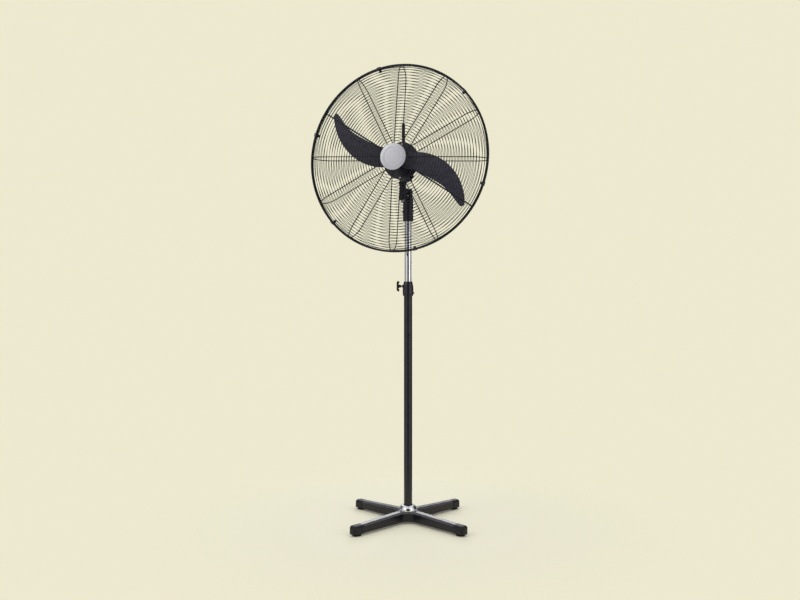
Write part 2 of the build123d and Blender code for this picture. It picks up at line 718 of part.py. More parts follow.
def make_badge_plate():
    """Black disc that the front ribs are welded behind."""
    d0 = front_d + rib_wire + 0.03
    return lathe_d([(0, d0), (badge_radius - 2, d0), (badge_radius - 2, d0 + 1.5), (0, d0 + 1.5)])


def make_badge_disc():
    """Domed bright disc with a plain raised band; it carries no mark."""
    d0 = front_d + rib_wire + 1.58
    r = badge_radius
    dome = lathe_d([(0, d0), (r - 1.0, d0), (r, d0 + 1.0), (r - 0.6, d0 + 2.2), (44, d0 + 4.2),
                    (43, d0 + 5.0), (40.5, d0 + 5.0), (39.5, d0 + 4.6), (24, d0 + 5.6), (0, d0 + 6.2)])
    return dome


def make_clips():
    """Bent clips that hold the two hoops together at the rim."""
    clips = []
    inner = hoop_wire + 0.05
    for k in range(clip_count):
        a = rib_clock - 15 + 360 / clip_count * k
        half_d = hoop_half_gap + inner
        outer = block(hoop_radius - inner - 1.2, hoop_radius + inner + 1.2,
                      -rim_d - half_d - 1.2, -rim_d + half_d + 1.2, hub_z - 9, hub_z + 9)
        room = Pos(0, -rim_d, hub_z) * Rot(90, 0, 0) * Cylinder(hoop_radius + inner, 2 * half_d)
        core = Pos(0, -rim_d, hub_z) * Rot(90, 0, 0) * Cylinder(hoop_radius - inner, 2 * half_d + 2)
        clip = outer - (room - core)
        mouth = block(hoop_radius - inner - 3, hoop_radius - inner + 1.0, -rim_d - half_d - 3,
                      -rim_d + half_d + 3, hub_z - 10, hub_z + 10)
        clip = clip - mouth
        tab = block(hoop_radius - 14, hoop_radius + 1, -rim_d + half_d + 0.05, -rim_d + half_d + 1.2,
                    hub_z - 6, hub_z + 6)
        clip = clip + tab
        clip = clip - ycyl(1.55, rim_d - 30, rim_d + 30, hoop_radius - 10.5, hub_z)
        clips.append(spin_clock(clip, a))
    return gather(clips)


def make_clip_screws():
    screws = []
    half_d = hoop_half_gap + hoop_wire + 0.05
    for k in range(clip_count):
        a = rib_clock - 15 + 360 / clip_count * k
        d0 = rim_d - half_d - 1.2 - 0.03
        x = hoop_radius - 10.5
        screw = ycyl(3.0, d0 - 2, d0, x, hub_z) + ycyl(1.5, d0 - 1, d0 + 6, x, hub_z)
        screw = screw + ycyl(2.8, d0 + 1.3, d0 + 3.4, x, hub_z)
        screws.append(spin_clock(screw, a))
    return gather(screws)


# ---------------------------------------------------------------- rotor
def make_motor_shaft():
    """Shaft with the worm at its rear end and a flat for the blade hub."""
    shaft = ycyl(shaft_radius, shell_rear_d - 8, 184)
    shaft = shaft + ycyl(worm_root, -22, shell_rear_d - 7)
    turns = 5
    length = turns * worm_pitch
    start = -wheel_d - length / 2
    path = Helix(pitch=worm_pitch, height=length, radius=worm_root)
    section = Plane(origin=path @ 0, x_dir=(path @ 0 - Vector(0, 0, 0)).normalized(),
                    z_dir=path % 0) * (Pos(1.0, 0) * Rectangle(2 * (worm_radius - worm_root) - 2, 1.1))
    thread = sweep(section, path=path, is_frenet=True)
    thread = Pos(0, start, hub_z) * Rot(-90, 0, 0) * thread
    flat = block(-10, 10, -blade_d - 22, -blade_d + 22, hub_z + shaft_radius - 1, hub_z + 12)
    return (shaft + thread) - flat


def make_rotor_core():
    mid = (shell_front_d + shell_rear_d) / 2 + 2
    core = ycyl(rotor_radius, mid - core_length / 2, mid + core_length / 2)
    ends = ycyl(rotor_radius - 2, mid - core_length / 2 - 5, mid + core_length / 2 + 5)
    ends = ends - ycyl(rotor_radius - 9, mid - 40, mid + 40)
    core = core + ends
    return core - ycyl(shaft_radius + seat_gap, 0, 120)


# distance from the hub, clock angle and width of the blade's sheet
blade_stations = [(40, -4.0, 86), (88, -8.8, 97), (148, -13.2, 105), (190, -17.0, 103), (250, -22.6, 85),
                  (300, -28.3, 64), (335, -32.8, 46), (356, -35.3, 31), (368, -36.8, 15)]


def sheet_frame(polar):
    """Clock angle, chord, pitch and run direction of the blade at a distance from the hub."""
    upper = 1
    while upper < len(blade_stations) - 1 and blade_stations[upper][0] < polar:
        upper += 1
    (r0, a0, c0), (r1, a1, c1) = blade_stations[upper - 1], blade_stations[upper]
    part = (polar - r0) / (r1 - r0)
    dx = r1 * cos(radians(a1)) - r0 * cos(radians(a0))
    dz = r1 * sin(radians(a1)) - r0 * sin(radians(a0))
    pitch = 30 - 15 * (polar - 40) / 320
    return a0 + part * (a1 - a0), c0 + part * (c1 - c0), pitch, degrees(atan2(dz, dx))


def sheet_plane(polar, cross=0.0):
    """Plane square to the blade's centreline; its x runs across the sheet, its y out of it."""
    angle, chord, pitch, run_angle = sheet_frame(polar)
    run = Vector(cos(radians(run_angle)), 0, sin(radians(run_angle)))
    across = Vector(-sin(radians(run_angle)), 0, cos(radians(run_angle)))
    x_dir = across * cos(radians(pitch)) + Vector(0, 1, 0) * sin(radians(pitch))
    centre = Vector(*clock(polar, angle, blade_d)) + x_dir * cross
    return Plane(origin=centre, x_dir=x_dir, z_dir=run)


def sheet_section(polar, low, high):
    chord = sheet_frame(polar)[1]

    def arc(off):
        sag = chord ** 2 / (8 * (blade_curve + off))
        return [(-chord / 2, off - sag), (0, off), (chord / 2, off - sag)]

    a, b = arc(low), arc(high)
    outline = [ThreePointArc(*a), Line(a[2], b[2]), ThreePointArc(*b[::-1]), Line(b[0], a[0])]
    return sheet_plane(polar) * make_face(Wire(outline))


def make_sheet(low, high):
    """Curved sheet through every station of the blade, between two offsets."""
    return loft([sheet_section(polar, low, high) for polar, angle, chord in blade_stations])


def make_blade():
    """Pressed scimitar blade."""
    return make_sheet(0, blade_thick)


def make_arm():
    """Pressed arm under the blade's root, running back into the hub."""
    gap = 0.12
    outer = make_sheet(-arm_thick - gap, -gap)
    window = Pos(*clock(66, -8, blade_d)) * Rot(0, 8, 0) * Box(70, 120, 44)
    window = fillet(window.edges().filter_by(Axis.Y).sort_by(Axis.X)[-2:], 16)
    root = sheet_section(blade_stations[0][0], -arm_thick - gap, -gap)
    neck = extrude(root, amount=30, dir=(-1, 0, 0))
    side = Pos(0, 0, hub_z) * Box(200, 400, 40)
    return (outer & window) + (neck & side)


def make_hub():
    """Turned hub with two pressed arms that carry the blades."""
    hub = ycyl(hub_radius, blade_d - hub_length / 2, blade_d + hub_length / 2)
    hub = chamfer(hub.edges(), 1.5)
    arm = make_arm()
    hub = hub + arm + spin_clock(arm, 180)
    return hub - ycyl(shaft_radius + seat_gap, 100, 200)


# ---------------------------------------------------------------- drive
def spur(teeth, thick, backlash=0.35):
    """Simple straight-flanked spur gear on its pitch circle, centred on the origin."""
    pitch_r = gear_module * teeth / 2
    root = pitch_r - 1.1 * gear_module
    tip = pitch_r + 0.9 * gear_module
    half = pi * gear_module / 4 - backlash / 2
    tooth = make_face(Polyline((root - 0.5, -half * 1.45), (pitch_r, -half), (tip, -half * 0.45),
                               (tip, half * 0.45), (pitch_r, half), (root - 0.5, half * 1.45), close=True))
    plan = Circle(root)
    for k in range(teeth):
        plan = plan + Rot(0, 0, 360 / teeth * k) * tooth
    return extrude(plan, thick)


def make_worm_wheel():
    thick = 5.0
    tip = wheel_tip
    root = tip - 2.8
    tooth = make_face(Polyline((root - 0.5, -0.75), (tip, -0.42), (tip, 0.42), (root - 0.5, 0.75), close=True))
    plan = Circle(root)
    for k in range(wheel_teeth):
        plan = plan + Rot(0, 0, 360 / wheel_teeth * (k + wheel_phase)) * tooth
    wheel = extrude(plan, thick)
    wheel = wheel + Pos(0, 0, -4) * extrude(Circle(8), thick + 8)
    wheel = wheel - Pos(0, 0, -10) * extrude(Circle(3.0 + run_gap), 40)
    return Pos(clutch_x, -wheel_d, hub_z - thick / 2) * wheel


def make_clutch_shaft():
    """Upright shaft through the worm wheel, with the pinion in the gear case."""
    x, y = clutch_x, -wheel_d
    shaft = zcyl(3.0, case_bottom + 0.9, hub_z + 90, x, y)
    shaft = shaft + zcyl(6.5, hub_z - 14, hub_z - 6.5 - body_gap, x, y)
    angle = degrees(atan2(crank_y - y, crank_x - x))
    pinion = Rot(0, 0, angle) * spur(pinion_teeth, gear_thick + 3)
    return shaft + Pos(x, y, gear_z + 0.2) * pinion


def make_clutch_knob():
    """Long pull knob that lifts the clutch dog."""
    x, y = clutch_x, -wheel_d
    z0 = hub_z + cover_radius + 4
    top = clutch_rod_top
    knob = lathe_z([(0, z0), (8.2, z0), (8.2, z0 + 6), (7.4, z0 + 10), (7.4, top - 12), (6.6, top - 5),
                    (4.4, top - 1), (0, top)], x, y)
    knob = knob - zcyl(3.0 + run_gap, z0 - 1, hub_z + 110, x, y)
    for k in range(3):
        z = top - 16 - 5 * k
        knob = knob - (zcyl(9, z, z + 1.2, x, y) - zcyl(6.8, z, z + 1.2, x, y))
    return knob


def make_crank():
    """Output gear whose shaft carries the crank disc and pin below the case."""
    angle = degrees(atan2(-wheel_d - crank_y, clutch_x - crank_x)) + 180 / gear_teeth
    gear = Rot(0, 0, angle) * spur(gear_teeth, gear_thick)
    gear = Pos(crank_x, crank_y, gear_z) * gear
    shaft = zcyl(4.0, link_z + link_thick + 0.6, gear_z + gear_thick + 3, crank_x, crank_y)
    z1 = case_bottom - 0.2
    disc = zcyl(crank_radius + 4, link_z + link_thick + 0.4, z1, crank_x, crank_y)
    pin = zcyl(2.5, link_z - 1.2, z1, crank_x - crank_radius, crank_y)
    return gear + shaft + disc + pin


def make_rivets():
    """Two rows of rivets through each blade and its arm."""
    rivets = []
    for polar in (56, 86):
        for cross in (-12, 12):
            plane = sheet_plane(polar, cross)
            place = Plane(origin=plane.origin, z_dir=plane.y_dir)
            rivet = place * (Pos(0, 0, -0.8) * Cylinder(2.0, arm_thick + blade_thick + 2.4))
            rivet = rivet + place * (Pos(0, 0, blade_thick + 0.9) * Cylinder(4.0, 1.8))
            rivet = rivet + place * (Pos(0, 0, -arm_thick - 1.6) * Cylinder(3.6, 1.8))
            rivets.append(rivet)
            rivets.append(spin_clock(rivet, 180))
    return gather(rivets)


def make_hub_nut():
    front = blade_d + hub_length / 2 + seat_gap
    nut = Pos(0, -front, hub_z) * Rot(90, 0, 0) * hex_head(18, 9)
    return nut - ycyl(shaft_radius + 0.02, 160, 210)


# ---------------------------------------------------------------- the set
def main():
    quarter = [base_turn + 45 + 90 * k for k in range(4)]
    save("base_casting", make_base())
    save("leg_caps", gather([on_stand(make_leg_cap(), a) for a in quarter]))
    save("foot_pads", gather([on_stand(make_foot_pad(), a) for a in quarter]))
    save("tube_flange", on_stand(make_tube_flange(), base_turn))
    save("flange_bolts", on_stand(make_flange_bolts(), base_turn))
    save("base_dome", make_base_dome())
    save("outer_tube", make_outer_tube())
    save("height_collar", make_collar())
    save("collar_bush", make_collar_bush())
    save("collar_fixing_screw", make_fixing_screw())
    save("clamp_screw", make_clamp_screw())
    save("clamp_handle", make_clamp_handle())
    save("mast_tube", make_mast())
    save("guide_bush", make_guide_bush())
    save("neck_socket", make_neck_socket())
    save("neck_set_screws", make_neck_screws())
    save("tilt_bolt", make_tilt_bolt())
    save("tilt_knob", make_tilt_knob())
    save("pivot_arm", make_pivot_arm())
    save("pivot_bushes", make_pivot_bushes())
    save("link_stud", make_link_stud())
    save("drive_link", make_drive_link())
    save("pivot_shaft", make_pivot_shaft())
    save("pivot_circlip", make_circlip())
    save("motor_front_shell", make_front_shell())
    save("motor_rear_shell", make_rear_shell())
    save("through_bolts", make_through_bolts())
    save("stator_core", make_stator())
    save("stator_windings", make_windings())
    save("shaft_bearings", make_bearings())
    save("gear_case", make_gear_case())
    save("rear_cover", make_rear_cover())
    save("cable_gland", make_gland())
    save("speed_knob", make_speed_knob())
    save("guard_plate", make_guard_plate())
    save("guard_spacer", make_plate_back())
    save("plate_screws", make_plate_screws())
    for name, front in (("rear", False), ("front", True)):
        save(name + "_ribs", make_ribs(front))
        save(name + "_face_rings", make_rings(front, False))
        save(name + "_shoulder_rings", make_rings(front, True))
        save(name + "_hoop", make_hoop(1 if front else -1))
    save("badge_plate", make_badge_plate())
    save("badge_disc", make_badge_disc())
    save("guard_clips", make_clips())
    save("clip_screws", make_clip_screws())
    save("motor_shaft", make_motor_shaft())
    save("rotor_core", make_rotor_core())
    blade = make_blade()
    rivets = make_rivets()
    save("blade_hub", make_hub() - rivets)
    save("blade_right", blade - rivets)
    save("blade_left", spin_clock(blade, 180) - rivets)
    save("blade_rivets", rivets)
    save("hub_nut", make_hub_nut())
    save("worm_wheel", make_worm_wheel())
    save("clutch_shaft", make_clutch_shaft())
    save("clutch_knob", make_clutch_knob())
    save("crank_gear", make_crank())


main()
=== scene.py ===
# %% [markdown]
# # A pedestal fan, finished piece by piece
# The exact shapes come from the CAD model. Blender adds what CAD leaves out: paint, plating,
# cast grain, weld beads, fins, dust, smears and a painted highlight on the tops of the base legs.
# Nothing from the CAD model is moved or reshaped, so every finish has to sit on a part whose size
# is already right.

# %% Load the frame
import bpy, bmesh, json
from math import sin, cos, pi, radians
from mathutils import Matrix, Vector


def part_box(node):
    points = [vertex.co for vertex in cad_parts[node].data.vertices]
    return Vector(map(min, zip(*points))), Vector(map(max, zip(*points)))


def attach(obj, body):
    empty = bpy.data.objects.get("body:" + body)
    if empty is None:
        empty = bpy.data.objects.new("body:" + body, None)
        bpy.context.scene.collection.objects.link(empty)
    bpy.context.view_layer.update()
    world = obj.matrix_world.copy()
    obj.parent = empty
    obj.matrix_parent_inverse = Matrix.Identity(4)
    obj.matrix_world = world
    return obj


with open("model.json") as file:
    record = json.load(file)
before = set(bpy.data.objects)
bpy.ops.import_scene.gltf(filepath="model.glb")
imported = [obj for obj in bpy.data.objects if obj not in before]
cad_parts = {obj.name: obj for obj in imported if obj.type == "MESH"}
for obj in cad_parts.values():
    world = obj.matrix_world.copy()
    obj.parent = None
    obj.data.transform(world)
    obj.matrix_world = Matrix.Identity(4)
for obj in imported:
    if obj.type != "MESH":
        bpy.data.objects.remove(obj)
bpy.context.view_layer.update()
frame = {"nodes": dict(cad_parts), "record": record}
slot_of = {s["node"]: s["material_slot"] for s in frame["record"]["subparts"]}

# %% [markdown]
# ## Measurements taken from the CAD
# The blade axis and the hoops are read from the boxes of their nodes. Reading them here, and not
# typing them in, keeps the added pieces right if the model is built again. Two angles can't be
# read from a box and are typed: the stand's turn and where the first rib stands.

# %% Read the key places
def middle(node):
    low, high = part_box(node)
    return (Vector(low) + Vector(high)) / 2

def size_of(node):
    low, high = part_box(node)
    return Vector(high) - Vector(low)

hub_height = middle("front_hoop").z
hoop_wire = size_of("front_hoop").y / 2
hoop_radius = size_of("front_hoop").x / 2 - hoop_wire
stand_turn = 19.0
rib_count = 12
first_rib = -3.5
rib_angles = [first_rib + 360 / rib_count * k for k in range(rib_count)]
print("hub height", round(hub_height, 4), "hoop radius", round(hoop_radius, 4))

# %% [markdown]
# ## Camera
# The fan is seen from waist height, 3.6 m away, from the side that the stand faces. The camera
# stays level, so the column stays upright in the picture.

# %% Place the camera
def add_camera():
    turn = radians(stand_turn)
    right = Vector((cos(turn), sin(turn), 0))
    back = Vector((sin(turn), -cos(turn), 0))
    data = bpy.data.cameras.new("camera")
    data.sensor_width = 36.0
    data.lens = 35.316
    data.shift_y = 0.00825
    data.clip_end = 100
    camera = bpy.data.objects.new("camera", data)
    distance, aside, eye_height = 3.6, 0.037, 0.9845
    camera.location = back * distance - right * aside + Vector((0, 0, eye_height))
    camera.rotation_euler = (pi / 2, 0, turn)
    bpy.context.collection.objects.link(camera)
    bpy.context.scene.camera = camera
    return camera

camera = add_camera()
print("camera at", [round(v, 3) for v in camera.location])

# %% [markdown]
# ## The room that the fan mirrors
# Black enamel and chrome show their shape by what they mirror. The backdrop is plain cream, but
# the room that the metal mirrors is a studio: two bright screens in front, a dark gap between
# them, dim walls at the sides and behind, and a bright ceiling. The gap is what draws the dark
# line down the chrome tube. A Light Path node gives the cream to the lens and the studio to
# everything else.

# %% Studio room
scene = bpy.context.scene
scene.view_settings.view_transform = "Standard"
cream = (0.846, 0.815, 0.630, 1)

def studio_room():
    world = bpy.data.worlds.new("studio")
    world.use_nodes = True
    tree = world.node_tree
    add = tree.nodes.new
    link = tree.links.new
    plain = tree.nodes["Background"]
    plain.inputs["Color"].default_value = cream
    turn = add("ShaderNodeMapping")
    turn.inputs["Rotation"].default_value = (0, 0, radians(270 - stand_turn))
    link(add("ShaderNodeTexCoord").outputs["Generated"], turn.inputs["Vector"])
    split = add("ShaderNodeSeparateXYZ")
    link(turn.outputs["Vector"], split.inputs["Vector"])
    bearing = add("ShaderNodeMath")
    bearing.operation = "ARCTAN2"
    link(split.outputs["Y"], bearing.inputs[0])
    link(split.outputs["X"], bearing.inputs[1])
    share = add("ShaderNodeMapRange")
    share.inputs["From Min"].default_value = -pi
    share.inputs["From Max"].default_value = pi
    link(bearing.outputs["Value"], share.inputs["Value"])
    walls = add("ShaderNodeValToRGB")
    stops = [(0.0, 0.01), (0.058, 0.01), (0.068, 0.85), (0.235, 0.72), (0.27, 0.05), (0.40, 0.04),
             (0.46, 0.30), (0.54, 0.30), (0.60, 0.16), (0.73, 0.20), (0.765, 0.72), (0.932, 0.85),
             (0.942, 0.01), (1.0, 0.01)]
    ramp = walls.color_ramp
    for _ in range(len(stops) - 2):
        ramp.elements.new(0.5)
    for element, (where, value) in zip(ramp.elements, stops):
        element.position = where
        element.color = (value, value, value * 1.02, 1)
    link(share.outputs["Result"], walls.inputs["Fac"])
    ceiling = add("ShaderNodeMapRange")
    ceiling.inputs["From Min"].default_value = 0.55
    ceiling.inputs["From Max"].default_value = 0.85
    link(split.outputs["Z"], ceiling.inputs["Value"])
    up = add("ShaderNodeMix")
    up.data_type = "RGBA"
    link(ceiling.outputs["Result"], up.inputs["Factor"])
    link(walls.outputs["Color"], up.inputs["A"])
    up.inputs["B"].default_value = (0.9, 0.9, 0.92, 1)
    room = add("ShaderNodeBackground")
    link(up.outputs["Result"], room.inputs["Color"])
    lens = add("ShaderNodeLightPath")
    choose = add("ShaderNodeMixShader")
    link(lens.outputs["Is Camera Ray"], choose.inputs["Fac"])
    link(room.outputs["Background"], choose.inputs[1])
    link(plain.outputs["Background"], choose.inputs[2])
    link(choose.outputs["Shader"], tree.nodes["World Output"].inputs["Surface"])
    scene.world = world
    return room

room = studio_room()
room.inputs["Strength"].default_value = 1.0
print("studio room set")

# %% [markdown]
# ## Floor
# The floor is a sheet of pale paper. It starts to fade 0.35 m from the column and is gone at
# 1.3 m, so no horizon line cuts across the column and only the soft shadow under the legs tells
# where the floor is. A little glow lifts the paper to the backdrop's cream.

# %% Pale floor
def floor_sheet():
    mesh = bpy.data.meshes.new("floor")
    reach = 5.0
    sink = 0.0006
    fade_start, fade_end = 0.35, 1.3
    paper = (0.92, 0.89, 0.70, 1)
    mesh.from_pydata([(-reach, -reach, 0), (reach, -reach, 0), (reach, reach, 0), (-reach, reach, 0)],
                     [], [(0, 1, 2, 3)])
    floor = bpy.data.objects.new("floor", mesh)
    floor.location.z = -sink
    bpy.context.collection.objects.link(floor)
    mat = bpy.data.materials.new("floor_paper")
    mat.use_nodes = True
    tree = mat.node_tree
    shader = tree.nodes["Principled BSDF"]
    shader.inputs["Base Color"].default_value = paper
    shader.inputs["Roughness"].default_value = 0.8
    shader.inputs["Specular IOR Level"].default_value = 0.2
    shader.inputs["Emission Color"].default_value = paper
    shader.inputs["Emission Strength"].default_value = 0.10
    reach_out = tree.nodes.new("ShaderNodeVectorMath")
    reach_out.operation = "LENGTH"
    tree.links.new(tree.nodes.new("ShaderNodeTexCoord").outputs["Object"], reach_out.inputs[0])
    fade = tree.nodes.new("ShaderNodeMapRange")
    fade.interpolation_type = "SMOOTHSTEP"
    fade.inputs["From Min"].default_value = fade_start
    fade.inputs["From Max"].default_value = fade_end
    fade.inputs["To Min"].default_value = 1.0
    fade.inputs["To Max"].default_value = 0.0
    tree.links.new(reach_out.outputs["Value"], fade.inputs["Value"])
    tree.links.new(fade.outputs["Result"], shader.inputs["Alpha"])
    mesh.materials.append(mat)
    return floor

floor = floor_sheet()
print("floor made")

# %% [markdown]
# ## Lamps
# Three soft lamps shape the fan: a key from the upper left, a tall strip on the right that draws
# a thin light edge down the column, and one behind, aimed down to skim the tops of the legs.

# %% Lamps
def soft_lamp(name, place, target, size, power, tint=(1, 1, 1)):
    data = bpy.data.lights.new(name, "AREA")
    data.shape = "RECTANGLE"
    data.size, data.size_y = size
    data.energy = power
    data.color = tint
    lamp = bpy.data.objects.new(name, data)
    lamp.location = place
    aim = Vector(target) - Vector(place)
    lamp.rotation_euler = aim.to_track_quat("-Z", "Y").to_euler()
    bpy.context.collection.objects.link(lamp)
    return lamp

soft_lamp("key_lamp", (-2.2, -3.0, 3.2), (0, 0, 1.1), (1.6, 1.6), 26)
soft_lamp("side_lamp", (3.2, -1.2, 1.8), (0, 0, 1.0), (0.6, 2.6), 8)
soft_lamp("back_lamp", (-1.2, 3.4, 1.8), (0, 0, 0.2), (2.4, 1.2), 30)

# %% [markdown]
# ## How every finish is made
# Each finish is one Principled shader fed by noise in the object's own metres, so a grain of
# 0.5 mm is 0.5 mm on every part. A Finish holds the shader. Its tint, dull and bump turn noise
# into colour, roughness and relief.

# %% Shader helpers
class Finish:
    """A material under construction."""

    def __init__(self, name, color, metallic=0.0, coat=0.0, coat_rough=0.1, specular=0.5):
        self.mat = bpy.data.materials.new(name)
        self.mat.use_nodes = True
        self.tree = self.mat.node_tree
        self.shader = self.tree.nodes["Principled BSDF"]
        self.shader.inputs["Base Color"].default_value = (*color, 1)
        self.shader.inputs["Metallic"].default_value = metallic
        self.shader.inputs["Coat Weight"].default_value = coat
        self.shader.inputs["Coat Roughness"].default_value = coat_rough
        self.shader.inputs["Specular IOR Level"].default_value = specular
        self.place = self.tree.nodes.new("ShaderNodeTexCoord").outputs["Object"]
        self.height = None
        self.mat.diffuse_color = (*color, 1)

    def stretch(self, scale):
        node = self.tree.nodes.new("ShaderNodeMapping")
        node.inputs["Scale"].default_value = scale
        self.tree.links.new(self.place, node.inputs["Vector"])
        return node.outputs["Vector"]

    def noise(self, scale, detail=3.0, place=None, rough=0.55):
        node = self.tree.nodes.new("ShaderNodeTexNoise")
        node.inputs["Scale"].default_value = scale
        node.inputs["Detail"].default_value = detail
        node.inputs["Roughness"].default_value = rough
        self.tree.links.new(place or self.place, node.inputs["Vector"])
        return node.outputs["Fac"]

    def between(self, value, low, high, start=0.3, end=0.7):
        node = self.tree.nodes.new("ShaderNodeMapRange")
        node.inputs["From Min"].default_value = start
        node.inputs["From Max"].default_value = end
        node.inputs["To Min"].default_value = low
        node.inputs["To Max"].default_value = high
        self.tree.links.new(value, node.inputs["Value"])
        return node.outputs["Result"]

    def facing_up(self, noise, share=0.3):
        """1 where a face looks straight up and 0 on a side, broken up by a noise."""
        split = self.tree.nodes.new("ShaderNodeSeparateXYZ")
        normal = self.tree.nodes.new("ShaderNodeNewGeometry").outputs["Normal"]
        self.tree.links.new(normal, split.inputs["Vector"])
        return self.combine(split.outputs["Z"], self.between(noise, -share, share), "ADD")

    def tint(self, value, low, high, start=0.3, end=0.7):
        """Base colour that runs from one colour to another with the value."""
        ramp = self.tree.nodes.new("ShaderNodeValToRGB")
        ramp.color_ramp.elements[0].position = start
        ramp.color_ramp.elements[0].color = (*low, 1)
        ramp.color_ramp.elements[1].position = end
        ramp.color_ramp.elements[1].color = (*high, 1)
        self.tree.links.new(value, ramp.inputs["Fac"])
        self.tree.links.new(ramp.outputs["Color"], self.shader.inputs["Base Color"])
        return ramp

    def dull(self, value, low, high, start=0.3, end=0.7):
        result = self.between(value, low, high, start, end)
        self.tree.links.new(result, self.shader.inputs["Roughness"])

    def bump(self, value, strength, depth):
        node = self.tree.nodes.new("ShaderNodeBump")
        node.inputs["Strength"].default_value = strength
        node.inputs["Distance"].default_value = depth
        self.tree.links.new(value, node.inputs["Height"])
        if self.height:
            self.tree.links.new(self.height, node.inputs["Normal"])
        self.height = node.outputs["Normal"]
        self.tree.links.new(self.height, self.shader.inputs["Normal"])

    def combine(self, a, b, kind="ADD", factor=0.5):
        node = self.tree.nodes.new("ShaderNodeMath")
        node.operation = kind
        self.tree.links.new(a, node.inputs[0])
        if isinstance(b, (int, float)):
            node.inputs[1].default_value = b
        else:
            self.tree.links.new(b, node.inputs[1])
        return node.outputs["Value"]

finishes = {}
print("helpers ready")

# %% [markdown]
# ## Cast iron under black enamel
# The cross base is a sand casting. The mould leaves a fine grain and shallow waves, and the
# enamel on top rounds them off and shines. Two noises at different scales give both, and a thin
# coat gives the shine. The faces that look up are painted a lighter grey than the sides, a painted
# highlight for the shine that the tops of the legs catch: the colour follows the way each face
# points.

# %% Base enamel
def base_enamel():
    f = Finish("base_enamel", (0.007, 0.006, 0.011), coat=0.35, coat_rough=0.14, specular=0.2)
    grain = f.noise(950, 4)
    waves = f.noise(26, 2)
    # Painted highlight: faces that look up get a lighter grey than the sides.
    f.tint(f.facing_up(f.noise(60, 5), 0.12), (0.006, 0.005, 0.010), (0.135, 0.130, 0.145), 0.45, 1.0)
    f.dull(f.noise(34, 6), 0.22, 0.40)
    f.bump(waves, 0.25, 0.0016)
    f.bump(grain, 0.16, 0.0004)
    return f

finishes["cast_base"] = base_enamel()
print("base enamel")

# %% [markdown]
# ## Gloss enamel on tube, castings and shells
# The column, the neck and the motor shells are sprayed gloss black. Sprayed enamel has orange
# peel, a soft ripple of about 2 mm. Dust settles on it unevenly, so the roughness drifts too.

# %% Gloss enamel
def gloss_enamel():
    f = Finish("gloss_enamel", (0.012, 0.011, 0.016), coat=0.3, coat_rough=0.1, specular=0.25)
    peel = f.noise(520, 2)
    f.tint(f.noise(45, 6), (0.013, 0.012, 0.018), (0.024, 0.022, 0.032))
    f.dull(f.noise(18, 7), 0.20, 0.36)
    f.bump(peel, 0.10, 0.0004)
    return f

def wire_enamel():
    f = Finish("wire_enamel", (0.007, 0.007, 0.009), coat=0.15, coat_rough=0.2, specular=0.2)
    f.tint(f.noise(120, 5), (0.004, 0.004, 0.006), (0.011, 0.011, 0.014))
    f.dull(f.noise(90, 6), 0.28, 0.46)
    f.bump(f.noise(1400, 2), 0.12, 0.0003)
    return f

finishes["black_enamel"] = gloss_enamel()
finishes["black_wire"] = wire_enamel()
print("enamels", len(finishes))

# %% [markdown]
# ## Chrome plate
# The sliding tube and the dome are bright chrome. A perfect mirror looks false, so hand smears
# and fine draw lines along the tube break the reflection a little.

# %% Chrome
def chrome_plate():
    f = Finish("chrome_plate", (0.80, 0.80, 0.82), metallic=1.0)
    smear = f.noise(22, 6)
    draw = f.noise(1.0, 3, f.stretch((2600, 2600, 18)))
    f.tint(smear, (0.70, 0.70, 0.71), (0.86, 0.86, 0.88))
    f.dull(smear, 0.025, 0.09)
    f.bump(draw, 0.02, 0.0001)
    return f

finishes["chrome_plate"] = chrome_plate()
print("chrome")

# %% [markdown]
# ## Blade paint
# The blades are pressed from sheet and painted a dark charcoal with less gloss than the frame.
# Air drags dust outwards over them, so the streaks in the paint run along the blade.

# %% Blade paint
def blade_paint():
    f = Finish("blade_paint", (0.056, 0.056, 0.073), coat=0.1, coat_rough=0.3, specular=0.2)
    streak = f.noise(1.0, 5, f.stretch((14, 60, 90)))
    f.tint(streak, (0.042, 0.042, 0.056), (0.074, 0.074, 0.094))
    f.dull(f.combine(streak, f.noise(240, 4), "MULTIPLY"), 0.34, 0.55, 0.12, 0.42)
    f.bump(f.noise(700, 2), 0.08, 0.0003)
    return f

finishes["blade_enamel"] = blade_paint()
print("blade paint")

# %% [markdown]
# ## Moulded plastic and rubber
# Knobs, leg caps and the clamp handle are moulded in black plastic with a spark-eroded grain.
# The foot pads are rubber, which is duller and picks up pale dust in its low spots.

# %% Plastic and rubber
def moulded_plastic():
    f = Finish("moulded_plastic", (0.009, 0.009, 0.011), specular=0.3)
    f.tint(f.noise(80, 5), (0.006, 0.006, 0.008), (0.014, 0.014, 0.017))
    f.dull(f.noise(150, 5), 0.36, 0.54)
    f.bump(f.noise(2200, 2), 0.22, 0.0003)
    return f

def pad_rubber():
    f = Finish("pad_rubber", (0.012, 0.012, 0.012), specular=0.2)
    f.tint(f.noise(70, 8, rough=0.7), (0.008, 0.008, 0.008), (0.034, 0.032, 0.028), 0.45, 0.85)
    f.dull(f.noise(120, 4), 0.66, 0.88)
    f.bump(f.noise(1500, 3), 0.3, 0.0004)
    return f

def nylon():
    f = Finish("nylon", (0.70, 0.69, 0.63))
    f.tint(f.noise(60, 5), (0.62, 0.60, 0.54), (0.74, 0.73, 0.68))
    f.dull(f.noise(110, 4), 0.42, 0.6)
    f.bump(f.noise(1700, 2), 0.12, 0.0002)
    return f

finishes["cap_plastic"] = moulded_plastic()
finishes["pad_rubber"] = pad_rubber()
finishes["bush_plastic"] = nylon()
print("plastics")

# %% [markdown]
# ## The bright disc
# The disc in the middle of the guard is spun aluminium. Spinning leaves rings round its centre,
# so the noise is read by distance from the blade axis and hardly at all by angle.

